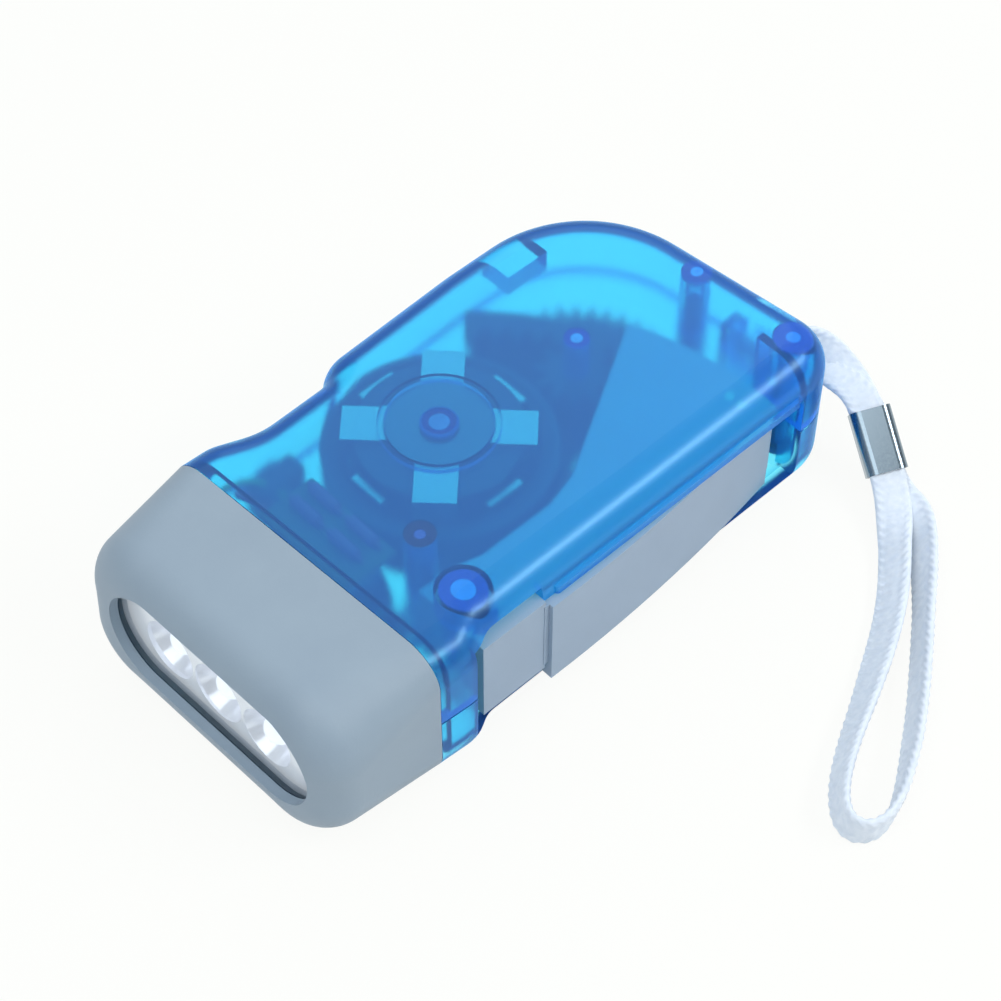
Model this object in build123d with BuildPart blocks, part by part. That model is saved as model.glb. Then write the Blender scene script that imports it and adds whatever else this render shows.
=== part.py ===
"""A squeeze-lever dynamo torch: a clear two-shell casing, a grey head and a lever that spins a generator.

Millimetres. The torch lies on its flat side: +X is the way the light goes, +Y is the side of the
lever, +Z is up, and the origin is under the middle of the casing, on the face that it rests on.
"""

from build123d import *
from math import acos, cos, hypot, pi, radians, sin, tan
import os

# ------------------------------------------------------------------ driving dimensions
body_height = 28.0
mid_height = body_height / 2
wall = 1.8
head_wall = 2.0
edge_radius = 6.0  # the soft rounding round both flat sides
seam_x = 31.7  # where the grey head meets the clear casing, on the middle line
seam_skew = 2.9  # degrees that the seam stands off square
running = 0.05  # radial clearance of a wheel on its pin
fit = 0.1  # clearance round a piece that only sits in its place

# The plan outline at mid height: x, y and the corner's radius, from the head's near corner round.
outline = [
    (49.5, 25.6, 8.5),  # head, near front
    (23.5, 27.35, 7.0),  # pillar in front of the lever
    (19.8, 25.3, 4.0),  # step down to the lever's side
    (-53.75, 24.9, 8.0),  # rear corner with the strap
    (-47.95, -27.2, 22.0),  # rounded palm corner
    (-19.0, -27.25, 60.0),  # palm side
    (5.5, -26.05, 7.0),  # step into the thumb recess
    (8.3, -23.45, 2.5),
    (20.8, -23.1, 12.0),  # end of the thumb recess
    (27.8, -25.9, 8.0),
    (49.9, -26.7, 10.0),  # head, far front
    (51.75, -2.1, 90.0),  # slight bow of the front
]

# The head: its section at the seam and the rounder one at the front, as low and high corner and radius
head_rear_section = (-26.12, 0.0, 26.92, 28.0, 6.0)
head_front_section = (-25.1, 0.0, 27.4, 27.2, 11.9)
head_front_x, head_front_wall, head_rounding = 52.2, 1.5, 6.6
head_lean, head_skew = 2.9, 1.7  # degrees that the front leans back, and stands off square

# The lever, its toothed sector and the gear train
pivot = Vector(18.85, 18.8)  # the lever's pivot, close behind the head
lever_bottom, lever_top = 7.0, 21.0
lever_plate = 1.5
skirt_bottom = 3.6  # the grip's wall reaches below the lever's lower plate
lever_skin = 2.0
lever_reach = 58.6  # from the pivot to the lever's rear end
lever_travel = 18.0  # degrees, squeezed to open
pressure_angle = 20.0
sector_module, sector_teeth, drive_pinion_teeth = 1.0, 108, 11
gear_module, wheel_teeth, fly_pinion_teeth = 0.8, 47, 17
addendum, dedendum, thinning = 0.8, 1.15, 0.14  # in modules, in modules, in mm a tooth
gear_post_angle = 207.3  # seen from the lever's pivot
flywheel_angle = -4.4  # seen from the gear post
gear_post = pivot + Vector(1, 0).rotate(Axis.Z, gear_post_angle) * (
    sector_module * (sector_teeth - drive_pinion_teeth) / 2
)
flywheel_axis = gear_post + Vector(1, 0).rotate(Axis.Z, flywheel_angle) * (
    gear_module * (wheel_teeth + fly_pinion_teeth) / 2
)
gear_pin_radius, flywheel_pin_radius = 1.25, 1.5

# The generator: a claw-pole stator that hangs from the top shell, and a flywheel round it
claw_reach = 14.2
claw_width = 6.3
pole_plate = 1.0
flywheel_radius = 17.5
magnet_inner, magnet_outer = 14.8, 16.4

# Screw posts: where they stand, and the radius of the upper post
rear_post = Vector(-46.65, -0.7)
corner_post = Vector(-47.65, 18.1)
front_post = Vector(16.85, 7.8)
screw_posts = [(rear_post, 2.35), (corner_post, 3.0), (front_post, 2.4)]
pivot_post_radius, pivot_shoulder = 3.0, 4.1
screw_radius, screw_head_radius = 1.0, 2.1

# Lights
led_spacing, led_middle_y = 10.2, 2.0
led_radius = 2.5
window_centre, window_width, window_height = Vector(2.4, 15.2), 41.0, 16.4
led_places = [led_middle_y + led_spacing * step for step in (-1, 0, 1)]
led_board_x = 38.95

# Cells, board and switch behind the head
cell_radius, cell_thickness, cells_x = 10.0, 3.2, 21.5
cells_y, cells_z = -3.0, 12.4
board_low, board_high = Vector(20.2, -11.5), Vector(30.2, 6.5)
board_z, board_thickness = 22.8, 1.0
switch_x, switch_travel = 21.0, 2.5
recess_wall_y = -23.1

# Catch under the rear end that holds the squeezed lever
catch_engaged_angle, catch_travel = 188.0, 4.2

# Wrist strap
strap_diameter = 1.8


# ------------------------------------------------------------------ shared shapes
def casing_block(inset, bottom, top, rounding):
    """The casing's outline drawn in by inset, raised from bottom to top and rounded top and bottom."""
    with BuildPart() as block:
        with BuildSketch(Plane.XY.offset(bottom)):
            with BuildLine():
                FilletPolyline(
                    *[(x, y) for x, y, _ in outline],
                    radius=[r for _, _, r in outline],
                    close=True,
                )
            make_face()
            if inset:
                offset(amount=-inset, kind=Kind.ARC)
        extrude(amount=top - bottom)
        if rounding:
            flats = block.faces().filter_by(Plane.XY)
            fillet(flats.edges(), rounding)
    return block.part


def seam_plane(distance=0.0):
    """The plane between casing and head, moved forward by distance."""
    turn = radians(seam_skew)
    return Plane(
        origin=(seam_x + distance, 0, 0),
        x_dir=(-sin(turn), cos(turn), 0),
        z_dir=(cos(turn), sin(turn), 0),
    )


def head_form(inset, front_inset):
    """The head's block from the seam forward, drawn in by inset round its sides and by front_inset."""
    normal = Vector(1, tan(radians(head_skew)), tan(radians(head_lean))).normalized()
    front = Plane(
        origin=Vector(head_front_x, 0, 0)
        + Vector(mid_height * tan(radians(head_lean)), 0, 0)
        - normal * front_inset,
        x_dir=(-normal.Y, normal.X, 0),
        z_dir=normal,
    )
    with BuildPart() as block:
        for plane, section in ((seam_plane(), head_rear_section), (front, head_front_section)):
            low_y, low_z, high_y, high_z, radius = section
            with BuildSketch(plane):
                with Locations(((low_y + high_y) / 2, (low_z + high_z) / 2)):
                    RectangleRounded(
                        high_y - low_y - 2 * inset, high_z - low_z - 2 * inset, radius - inset
                    )
        loft()
        front_face = block.faces().sort_by(Axis.X)[-1]
        fillet(front_face.edges(), head_rounding - inset)
    return block.part


def involute(base_radius, radius):
    """The involute's polar angle at a radius, in radians."""
    lean = acos(min(1.0, base_radius / radius))
    return tan(lean) - lean


def tooth_half_angle(module, teeth, radius, thickness):
    """Half the angle that an involute tooth of this pitch thickness fills at a radius, in degrees."""
    pitch = module * teeth / 2
    base = pitch * cos(radians(pressure_angle))
    half = thickness / (2 * pitch) + involute(base, pitch) - involute(base, max(radius, base))
    return half * 180 / pi


def polar(centre, radius, angle):
    return (centre.X + radius * cos(radians(angle)), centre.Y + radius * sin(radians(angle)))


def gear_points(centre, module, teeth, first_tooth):
    """The corners round an external gear that has a tooth at the angle first_tooth."""
    pitch = module * teeth / 2
    radii = [pitch - dedendum * module, pitch - 0.3 * module, pitch, pitch + 0.45 * module]
    radii.append(pitch + addendum * module)
    thickness = pi * module / 2 - thinning
    points = []
    for tooth in range(teeth):
        middle = first_tooth + 360 * tooth / teeth
        halves = [(r, tooth_half_angle(module, teeth, r, thickness)) for r in radii]
        points += [polar(centre, r, middle - half) for r, half in halves]
        points += [polar(centre, r, middle + half) for r, half in reversed(halves)]
    return points


def gear(centre, module, teeth, first_tooth, bottom, height):
    """A spur gear's toothed disc, with no bore."""
    with BuildPart() as disc:
        with BuildSketch(Plane.XY.offset(bottom)):
            with BuildLine():
                Polyline(*gear_points(centre, module, teeth, first_tooth), close=True)
            make_face()
        extrude(amount=height)
    return disc.part


def drum(centre, radius, bottom, top):
    """A plain upright cylinder."""
    with BuildPart() as cylinder:
        with BuildSketch(Plane.XY.offset(bottom)):
            with Locations(centre):
                Circle(radius)
        extrude(amount=top - bottom)
    return cylinder.part


def slab(low, high):
    """A box between two opposite corners."""
    with BuildPart() as box:
        with BuildSketch(Plane.XY.offset(low[2])):
            with Locations(((low[0] + high[0]) / 2, (low[1] + high[1]) / 2)):
                Rectangle(high[0] - low[0], high[1] - low[1])
        extrude(amount=high[2] - low[2])
    return box.part


def largest_bends(points):
    """The largest bends that leave each pair of neighbouring bends room on the run between them."""
    vectors = [Vector(*point) for point in points]
    radii = []
    for before, here, after in zip(vectors, vectors[1:], vectors[2:]):
        turn = radians((here - before).get_angle(after - here))
        shorter = min((here - before).length, (after - here).length)
        radii.append(round(0.45 * shorter / tan(turn / 2), 2))
    return radii


def save(part, name):
    part.label = name
    export_step(part, f"parts/{name}.step")


os.makedirs("parts", exist_ok=True)

# ------------------------------------------------------------------ casing, before it is parted
slot_front, slot_rear = 23.85, -43.65
hub_x = 9.75  # where the lever's hub ends and its grip starts
ceiling = body_height - wall
collar_length = 4.4
collar_gap = head_wall + 0.15
collar_wall = 1.4
eye_low, eye_high = Vector(-56.0, 6.4, 9.6), Vector(-47.6, 13.6, 18.4)
eye_wall = 1.2
knob_slot_length, knob_slot_height = 6.5, 3.4

outer_block = casing_block(0, 0, body_height, edge_radius)
inner_block = casing_block(wall, wall, ceiling, edge_radius - wall)

with BuildPart() as collar:
    add(casing_block(wall - 0.6, 0.6, body_height - 0.6, edge_radius - 1.2))
    split(bisect_by=seam_plane(-2.5), keep=Keep.TOP)
    split(bisect_by=seam_plane(), keep=Keep.BOTTOM)
with BuildPart() as tongue:
    add(head_form(collar_gap, collar_gap))
    split(bisect_by=seam_plane(collar_length), keep=Keep.BOTTOM)
with BuildPart() as collar_hollow:
    inset = collar_gap + collar_wall
    add(casing_block(inset, inset, body_height - inset, 3.0))
    split(bisect_by=seam_plane(-4.0), keep=Keep.TOP)

with BuildPart() as casing:
    add(outer_block)
    add(inner_block, mode=Mode.SUBTRACT)
    split(bisect_by=seam_plane(), keep=Keep.BOTTOM)
    add(collar.part)
    add(tongue.part)
    add(collar_hollow.part, mode=Mode.SUBTRACT)
    # Wall behind the lever's rear end, and the pocket that holds the strap pin
    add(slab((slot_rear - 1.4, 14.6, 1.0), (slot_rear, 24.0, body_height - 1.0)))
    pocket_low = (-51.6, eye_low.Y - eye_wall, eye_low.Z - eye_wall)
    pocket_high = (eye_high.X + eye_wall, eye_high.Y + eye_wall, eye_high.Z + eye_wall)
    add(slab(pocket_low, pocket_high))
    add(slab(tuple(eye_low), tuple(eye_high)), mode=Mode.SUBTRACT)
    # The lever's slot, taller at its hub
    add(
        slab((slot_rear, 20.5, lever_bottom - 0.5), (slot_front, 32, lever_top + 0.5)),
        mode=Mode.SUBTRACT,
    )
    add(slab((slot_rear, 20.5, skirt_bottom - 0.4), (hub_x + 1, 32, mid_height)), mode=Mode.SUBTRACT)
    add(slab((hub_x, 20.5, 3.7), (slot_front, 32, body_height - 3.7)), mode=Mode.SUBTRACT)
    # The switch's knob slot, in the thumb recess
    add(
        slab(
            (switch_x - knob_slot_length / 2, -30, mid_height - knob_slot_height / 2),
            (switch_x + knob_slot_length / 2, -20, mid_height + knob_slot_height / 2),
        ),
        mode=Mode.SUBTRACT,
    )

strap_pin_x, strap_pin_radius = -50.4, 1.1
strap_pin_seat = 1.0  # how far each end of the pin goes into the pocket's walls
with BuildPart() as pin_seat:
    with BuildSketch(Plane.XZ.offset(-(eye_high.Y + strap_pin_seat + fit))):
        with Locations((strap_pin_x, mid_height)):
            Circle(strap_pin_radius + 0.02)
    extrude(amount=eye_high.Y - eye_low.Y + 2 * (strap_pin_seat + fit))

# ------------------------------------------------------------------ top shell
gear_boss_radius, stator_boss_radius = 2.0, 2.5
stator_boss_bottom = 14.4
rib_inner, rib_outer, rib_bottom = 8.0, 9.0, 25.35
drive_top = 18.4

# Raised lip along the slot's upper edge
lip_low, lip_high, lip_rise = 21.7, 23.1, 0.6
with BuildPart() as slot_lip:
    add(casing_block(-lip_rise, lip_low, lip_high, 0))
    add(slab((slot_rear + 1.5, 23.6, lip_low), (7.6, 32, lip_high)), mode=Mode.INTERSECT)
    fillet(slot_lip.edges().filter_by(Axis.Z), 0.6)
# Shallow groove that marks the parting line
with BuildPart() as groove:
    add(slab((-70, -40, mid_height - 0.15), (70, 40, mid_height + 0.15)))
    add(casing_block(0.3, mid_height - 0.15, mid_height + 0.15, 0), mode=Mode.SUBTRACT)

with BuildPart() as top_shell:
    add(casing.part)
    split(bisect_by=Plane.XY.offset(mid_height), keep=Keep.TOP)
    for post, radius in screw_posts:
        add(drum(post, radius, mid_height, body_height - 1))
    add(drum(pivot, pivot_post_radius, mid_height, body_height - 1))
    add(drum(pivot, pivot_shoulder, lever_top + 1.2, body_height - 1))
    add(drum(gear_post, gear_boss_radius, drive_top + 0.6, body_height - 1))
    add(drum(flywheel_axis, stator_boss_radius, stator_boss_bottom, body_height - 1))
    add(drum(flywheel_axis, rib_outer, rib_bottom, body_height - 1))
    with BuildSketch(Plane.XY.offset(rib_bottom)):
        with Locations(flywheel_axis):
            Circle(rib_inner)
            Circle(stator_boss_radius, mode=Mode.SUBTRACT)
    extrude(amount=ceiling - rib_bottom, mode=Mode.SUBTRACT)
    # Gusset on the palm side
    add(slab((-33.0, -25.8, 22.4), (-25.0, -19.0, body_height - 1)))
    add(outer_block, mode=Mode.INTERSECT)
    add(slot_lip.part)
    add(groove.part, mode=Mode.SUBTRACT)
    # Blind holes for the screws and the two gear pins
    for post, _ in screw_posts:
        add(drum(post, screw_radius, mid_height, 24), mode=Mode.SUBTRACT)
    add(drum(pivot, screw_radius, mid_height, 24), mode=Mode.SUBTRACT)
    add(drum(gear_post, gear_pin_radius, drive_top, 24.5), mode=Mode.SUBTRACT)
    add(drum(flywheel_axis, flywheel_pin_radius, stator_boss_bottom, 25), mode=Mode.SUBTRACT)
    add(pin_seat.part, mode=Mode.SUBTRACT)
save(top_shell.part, "top_shell")

# ------------------------------------------------------------------ bottom shell
post_foot_radius, post_foot_top = 3.4, 6.6
counterbore_radius, counterbore_depth = 2.35, 4.2
screw_hole_radius = 1.3
gear_foot_radius, gear_foot_top = 3.2, 8.6
flywheel_foot_radius, flywheel_foot_top = 3.6, 5.2
catch_place = Vector(*polar(pivot, lever_reach - 2.0, catch_engaged_angle)) - Vector(catch_travel, 0)
catch_window = (9.8, 5.4)
catch_rail = 1.0

with BuildPart() as bottom_shell:
    add(casing.part)
    split(bisect_by=Plane.XY.offset(mid_height), keep=Keep.BOTTOM)
    for post, radius in screw_posts:
        add(drum(post, radius, 1, mid_height))
        add(drum(post, post_foot_radius, 1, post_foot_top))
    add(drum(pivot, pivot_post_radius, 1, mid_height))
    add(drum(pivot, pivot_shoulder, 1, lever_bottom - 1.2))
    add(drum(gear_post, gear_foot_radius, 1, gear_foot_top))
    add(drum(flywheel_axis, flywheel_foot_radius, 1, flywheel_foot_top))
    add(outer_block, mode=Mode.INTERSECT)
    add(groove.part, mode=Mode.SUBTRACT)
    # Counterbored screw holes from below
    for post in [rear_post, corner_post, front_post, pivot]:
        add(drum(post, counterbore_radius, 0, counterbore_depth), mode=Mode.SUBTRACT)
        add(drum(post, screw_hole_radius, counterbore_depth, mid_height), mode=Mode.SUBTRACT)
    add(drum(gear_post, gear_pin_radius, 2.5, gear_foot_top), mode=Mode.SUBTRACT)
    add(drum(flywheel_axis, flywheel_pin_radius, 1.6, flywheel_foot_top), mode=Mode.SUBTRACT)
    # Window and rails of the lever's catch
    window_x = catch_place.X + catch_travel / 2
    with BuildSketch(Plane.XY):
        with Locations((window_x, catch_place.Y)):
            RectangleRounded(*catch_window, 0.8)
    extrude(amount=wall, mode=Mode.SUBTRACT)
    for side in (-1, 1):
        rail_y = catch_place.Y + side * 4.1
        add(
            slab(
                (window_x - 5.4, rail_y - catch_rail / 2, 1.2),
                (window_x + 8, rail_y + catch_rail / 2, 3.4),
            )
        )
    add(pin_seat.part, mode=Mode.SUBTRACT)
save(bottom_shell.part, "bottom_shell")

with BuildPart() as strap_pin:
    with BuildSketch(Plane.XZ.offset(-(eye_high.Y + strap_pin_seat))):
        with Locations((strap_pin_x, mid_height)):
            Circle(strap_pin_radius)
    extrude(amount=eye_high.Y - eye_low.Y + 2 * strap_pin_seat)
save(strap_pin.part, "strap_pin")

# ------------------------------------------------------------------ screws that close the casing
screw_tip = 21.0
with BuildPart() as case_screws:
    for post in [rear_post, corner_post, front_post, pivot]:
        with BuildSketch(Plane.XY.offset(counterbore_depth - 1.7)):
            with Locations(post):
                Circle(screw_head_radius)
        extrude(amount=1.7)
        with BuildSketch(Plane.XY.offset(counterbore_depth)):
            with Locations(post):
                Circle(screw_radius)
        extrude(amount=screw_tip - counterbore_depth)
    # Cross recesses in the heads
    for post in [rear_post, corner_post, front_post, pivot]:
        with BuildSketch(Plane.XY.offset(counterbore_depth - 1.7)):
            with Locations(post):
                Rectangle(2.4, 0.6)
                Rectangle(0.6, 2.4)
        extrude(amount=0.9, mode=Mode.SUBTRACT)
save(case_screws.part, "case_screws")

# ------------------------------------------------------------------ head: bezel, lens, reflector
with BuildPart() as window:
    with BuildSketch(Plane.YZ.offset(42)):
        with Locations(window_centre):
            RectangleRounded(window_width, window_height, window_height / 2 - 0.3)
    extrude(amount=20)
with BuildPart() as head_bezel:
    add(head_form(0, 0))
    add(head_form(head_wall, head_front_wall), mode=Mode.SUBTRACT)
    split(bisect_by=seam_plane(0.1), keep=Keep.TOP)
    add(window.part, mode=Mode.SUBTRACT)
save(head_bezel.part, "head_bezel")

lens_thickness = 0.9


def tray(gap, border, rear):
    """The head's inside drawn in by gap, cut to the window grown by border and to x from rear on."""
    with BuildPart() as block:
        add(head_form(head_wall + gap, head_front_wall + gap))
        with BuildSketch(Plane.YZ.offset(rear)):
            with Locations(window_centre):
                RectangleRounded(
                    window_width + 2 * border, window_height + 2 * border, window_height / 2
                )
        extrude(amount=20, mode=Mode.INTERSECT)
    return block.part


lens_back = fit + lens_thickness
with BuildPart() as front_lens:
    add(tray(fit, 0.9, 43))
    add(head_form(head_wall + lens_back, head_front_wall + lens_back), mode=Mode.SUBTRACT)
save(front_lens.part, "front_lens")

reflector_back = 42.0
cup_depth, cup_mouth, led_hole = 6.4, 4.85, 2.65
with BuildPart() as reflector_cups:
    for place in led_places:
        with BuildSketch(Plane.XZ.offset(-place)) as cup:
            with BuildLine():
                Polyline(
                    (reflector_back + 1.0, mid_height),
                    (reflector_back + 1.0, mid_height + led_hole),
                )
                Spline(
                    (reflector_back + 1.0, mid_height + led_hole),
                    (reflector_back + 1.0 + cup_depth * 0.35, mid_height + cup_mouth * 0.7),
                    (reflector_back + 1.0 + cup_depth, mid_height + cup_mouth),
                )
                Polyline(
                    (reflector_back + 1.0 + cup_depth, mid_height + cup_mouth),
                    (reflector_back + 4.0 + cup_depth, mid_height + cup_mouth),
                    (reflector_back + 4.0 + cup_depth, mid_height),
                    (reflector_back + 1.0, mid_height),
                )
            make_face()
        revolve(axis=Axis((0, place, mid_height), (1, 0, 0)))
with BuildPart() as reflector:
    add(tray(2 * fit + lens_thickness, 0.5, reflector_back))
    add(reflector_cups.part, mode=Mode.SUBTRACT)
    with BuildSketch(Plane.YZ.offset(reflector_back)):
        with Locations([(place, mid_height) for place in led_places]):
            Circle(led_hole)
    extrude(amount=2, mode=Mode.SUBTRACT)
    with BuildSketch(Plane.YZ.offset(led_board_x + 1.6)):
        with Locations((led_middle_y - 17, mid_height), (led_middle_y + 17, mid_height)):
            Circle(1.4)
    extrude(amount=reflector_back - led_board_x - 1.6)
save(reflector.part, "reflector")

# ------------------------------------------------------------------ lamps and their board
with BuildPart() as led_board:
    with BuildSketch(Plane.YZ.offset(led_board_x)):
        with Locations((led_middle_y, mid_height)):
            RectangleRounded(39.0, 13.0, 1.0)
    extrude(amount=1.6)
save(led_board.part, "led_board")

led_base = led_board_x + 1.6
led_names = ["led_far", "led_middle", "led_near"]
for name, place in zip(led_names, led_places):
    with BuildPart() as led:
        with BuildSketch(Plane.XZ.offset(-place)):
            with BuildLine():
                Polyline(
                    (led_base + 8.6, mid_height),
                    (led_base, mid_height),
                    (led_base, mid_height + 2.9),
                    (led_base + 1.0, mid_height + 2.9),
                    (led_base + 1.0, mid_height + led_radius),
                    (led_base + 6.1, mid_height + led_radius),
                )
                RadiusArc(
                    (led_base + 6.1, mid_height + led_radius),
                    (led_base + 8.6, mid_height),
                    led_radius,
                )
            make_face()
        revolve(axis=Axis((0, place, mid_height), (1, 0, 0)))
    save(led.part, name)

# ------------------------------------------------------------------ cells, board, diodes and switch
with BuildPart() as button_cells:
    for count in range(2):
        with BuildSketch(Plane.YZ.offset(cells_x + count * cell_thickness)):
            with Locations((cells_y, cells_z)):
                Circle(cell_radius)
        extrude(amount=cell_thickness - 0.05)
save(button_cells.part, "button_cells")

tab_thickness, tab_width = 0.3, 4.0
cells_end = cells_x + 2 * cell_thickness - 0.05
with BuildPart() as cell_holder:
    add(slab((cells_x - 1.2, cells_y - 11.2, 2.0), (cells_end + 0.75, cells_y + 11.2, 9.0)))
    with BuildSketch(Plane.YZ.offset(cells_x - tab_thickness)):
        with Locations((cells_y, cells_z)):
            Circle(cell_radius + fit)
    extrude(amount=2 * cell_thickness + 2 * tab_thickness, mode=Mode.SUBTRACT)
    with BuildSketch(Plane.YZ.offset(cells_x - 5)):
        with Locations((cells_y, cells_z)):
            Circle(cell_radius - 1.6)
    extrude(amount=20, mode=Mode.SUBTRACT)
save(cell_holder.part, "cell_holder")

with BuildPart() as contact_tabs:
    for x in (cells_x - tab_thickness, cells_end):
        add(
            slab(
                (x, cells_y - tab_width / 2, 6.0),
                (x + tab_thickness, cells_y + tab_width / 2, board_z),
            )
        )
save(contact_tabs.part, "contact_tabs")

with BuildPart() as charge_board:
    add(
        slab(
            (board_low.X, board_low.Y, board_z),
            (board_high.X, board_high.Y, board_z + board_thickness),
        )
    )
save(charge_board.part, "charge_board")

diode_radius, diode_length, diode_x = 0.95, 5.2, 21.7
diode_places = [(diode_x, -6.9), (diode_x, 1.2), (diode_x + 3.4, -6.9), (diode_x + 3.4, 1.2)]
board_top = board_z + board_thickness
with BuildPart() as diodes:
    for x, y in diode_places:
        with BuildSketch(Plane.XZ.offset(-(y + diode_length / 2))):
            with Locations((x, board_top + diode_radius)):
                Circle(diode_radius)
        extrude(amount=diode_length)
        for end in (-1, 1):
            add(
                slab(
                    (x - 0.25, y + end * (diode_length / 2 + 0.5) - 0.5, board_top),
                    (x + 0.25, y + end * (diode_length / 2 + 0.5) + 0.5, board_top + 1.2),
                )
            )
save(diodes.part, "diodes")

switch_body_y = recess_wall_y + wall + 0.15
switch_low = (switch_x - 4.2, switch_body_y, 10.2)
switch_high = (switch_x + 4.2, switch_body_y + 3.4, 17.8)
with BuildPart() as switch_body:
    add(slab(switch_low, switch_high))
    add(
        slab(
            (switch_x - 3.1, switch_body_y - 1, mid_height - 1.5),
            (switch_x + 3.1, switch_body_y + 1.2, mid_height + 1.5),
        ),
        mode=Mode.SUBTRACT,
    )
    for leg in (-2.5, 0, 2.5):
        add(
            slab(
                (switch_x + leg - 0.4, switch_high[1] - 0.2, mid_height - 0.25),
                (switch_x + leg + 0.4, switch_high[1] + 1.0, mid_height + 0.25),
            )
        )
save(switch_body.part, "switch_body")

knob_x = switch_x - switch_travel / 2  # stored at its off end
knob_proud = 1.2
with BuildPart() as switch_knob:
    add(
        slab(
            (knob_x - 1.7, recess_wall_y - knob_proud, mid_height - 1.35),
            (knob_x + 1.7, switch_body_y + 1.0, mid_height + 1.35),
        )
    )
    for groove in (-0.9, 0, 0.9):
        add(
            slab(
                (knob_x + groove - 0.2, recess_wall_y - knob_proud - 1, mid_height - 3),
                (knob_x + groove + 0.2, recess_wall_y - knob_proud + 0.3, mid_height + 3),
            ),
            mode=Mode.SUBTRACT,
        )
save(switch_knob.part, "switch_knob")

# ------------------------------------------------------------------ stator: two claw plates and a coil
top_plate_z, bottom_plate_z = 24.3, 14.7
claw_tip_low, claw_tip_high = 17.2, 22.4


def pole_piece(plate_z, claw_low, claw_high, first_arm):
    """A round steel plate with four arms, each bent over at its end into a claw."""
    with BuildPart() as piece:
        with BuildSketch(Plane.XY.offset(plate_z)):
            with Locations(flywheel_axis):
                Circle(rib_inner - 0.2)
            for arm in range(4):
                middle = polar(flywheel_axis, claw_reach / 2, first_arm + 90 * arm)
                with Locations(Location((*middle, 0), (0, 0, first_arm + 90 * arm))):
                    Rectangle(claw_reach, claw_width)
        extrude(amount=pole_plate)
        with BuildSketch(Plane.XY.offset(claw_low)):
            for arm in range(4):
                middle = polar(flywheel_axis, claw_reach - pole_plate / 2, first_arm + 90 * arm)
                with Locations(Location((*middle, 0), (0, 0, first_arm + 90 * arm))):
                    Rectangle(pole_plate, claw_width)
        extrude(amount=claw_high - claw_low)
        add(drum(flywheel_axis, stator_boss_radius + running, 10, 27), mode=Mode.SUBTRACT)
    return piece.part


save(pole_piece(top_plate_z, claw_tip_low, top_plate_z + pole_plate, 45), "top_pole_plate")
save(pole_piece(bottom_plate_z, bottom_plate_z, claw_tip_high, 0), "bottom_pole_plate")

bobbin_low, bobbin_high = bottom_plate_z + pole_plate, top_plate_z
flange, spool_radius, coil_radius = 0.8, 4.2, 12.2
with BuildPart() as coil_bobbin:
    add(drum(flywheel_axis, spool_radius, bobbin_low, bobbin_high))
    add(drum(flywheel_axis, coil_radius + 0.4, bobbin_low, bobbin_low + flange))
    add(drum(flywheel_axis, coil_radius + 0.4, bobbin_high - flange, bobbin_high))
    add(drum(flywheel_axis, stator_boss_radius + running, 10, 27), mode=Mode.SUBTRACT)
save(coil_bobbin.part, "coil_bobbin")

with BuildPart() as coil_winding:
    add(drum(flywheel_axis, coil_radius, bobbin_low + flange, bobbin_high - flange))
    add(drum(flywheel_axis, spool_radius, 10, 27), mode=Mode.SUBTRACT)
save(coil_winding.part, "coil_winding")

with BuildPart() as flywheel_pin:
    add(drum(flywheel_axis, flywheel_pin_radius, 1.6, 24.8))
save(flywheel_pin.part, "flywheel_pin")

with BuildPart() as gear_pin:
    add(drum(gear_post, gear_pin_radius, 2.5, 24.3))
save(gear_pin.part, "gear_pin")

# ------------------------------------------------------------------ flywheel and its magnet
web_low, web_high, rim_top = 11.7, 13.0, 21.0
wheel_low, wheel_high = 8.9, 11.3
hub_top = 14.2
with BuildPart() as flywheel:
    add(drum(flywheel_axis, flywheel_radius, web_low, rim_top))
    add(drum(flywheel_axis, magnet_outer, web_high, 30), mode=Mode.SUBTRACT)
    add(drum(flywheel_axis, 3.4, web_low, hub_top))
    add(
        gear(
            flywheel_axis,
            gear_module,
            fly_pinion_teeth,
            flywheel_angle + 180 + 180 / fly_pinion_teeth,
            wheel_low - 0.3,
            web_low - wheel_low + 0.3,
        )
    )
    add(drum(flywheel_axis, 3.4, flywheel_foot_top + 0.3, web_low))
    with BuildSketch(Plane.XY.offset(web_low)):
        with Locations(flywheel_axis):
            with PolarLocations(11.0, 6):
                Circle(2.2)
    extrude(amount=web_high - web_low, mode=Mode.SUBTRACT)
    add(drum(flywheel_axis, flywheel_pin_radius + running, 0, 30), mode=Mode.SUBTRACT)
save(flywheel.part, "flywheel")

with BuildPart() as ring_magnet:
    add(drum(flywheel_axis, magnet_outer - 0.02, web_high, rim_top - 0.3))
    add(drum(flywheel_axis, magnet_inner, 0, 30), mode=Mode.SUBTRACT)
save(ring_magnet.part, "ring_magnet")

# ------------------------------------------------------------------ compound gear: wheel and clutch pinion
clutch_radius, clutch_sunk = 6.4, 0.8
with BuildPart() as drive_wheel:
    add(gear(gear_post, gear_module, wheel_teeth, flywheel_angle, wheel_low, wheel_high - wheel_low))
    add(drum(gear_post, clutch_radius, wheel_high - clutch_sunk, 30), mode=Mode.SUBTRACT)
    with BuildSketch(Plane.XY.offset(wheel_low)):
        with Locations(gear_post):
            with PolarLocations(12.3, 6):
                Circle(3.2)
    extrude(amount=wheel_high - wheel_low, mode=Mode.SUBTRACT)
    add(drum(gear_post, gear_pin_radius + running, 0, 30), mode=Mode.SUBTRACT)
save(drive_wheel.part, "drive_wheel")

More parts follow.
